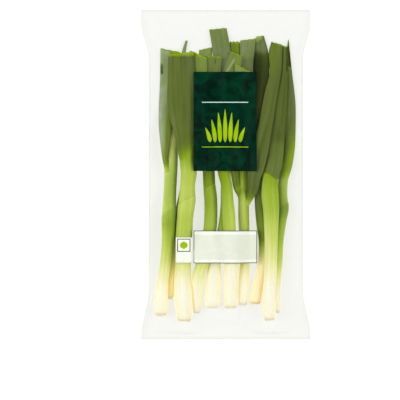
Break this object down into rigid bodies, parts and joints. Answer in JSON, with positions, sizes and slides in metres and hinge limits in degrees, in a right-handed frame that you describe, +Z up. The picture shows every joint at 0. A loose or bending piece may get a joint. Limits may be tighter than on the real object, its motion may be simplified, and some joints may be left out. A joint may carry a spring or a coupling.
{
  "type": "bagged spring onion bunch",
  "caption": "Bunch of trimmed spring onions lying side by side in a flat bag of clear film, white root ends together, hollow green leaves cut off square at the top.",
  "frame": {"origin": "middle of the bag's flat back, on the surface it lies on", "axes": "+Z up through the bag's front, +Y along the onions towards the cut leaf ends, +X across the bag"},
  "size_m": [0.149, 0.29, 0.0237],
  "materials": {
    "onion_skin": "waxy plant skin, white at the root end and green towards the leaves",
    "clear_film": "thin clear polypropylene film, glossy",
    "green_print": "dark green ink printed on the film",
    "white_print": "milky white ink printed on the film"
  },
  "bodies": {
    "root": {"onion_01": "onion_skin", "onion_02": "onion_skin", "onion_03": "onion_skin", "onion_04": "onion_skin", "onion_05": "onion_skin", "onion_06": "onion_skin", "onion_07": "onion_skin", "onion_08": "onion_skin", "onion_09": "onion_skin", "onion_10": "onion_skin", "film_bag": "clear_film"}
  },
  "joints": []
}
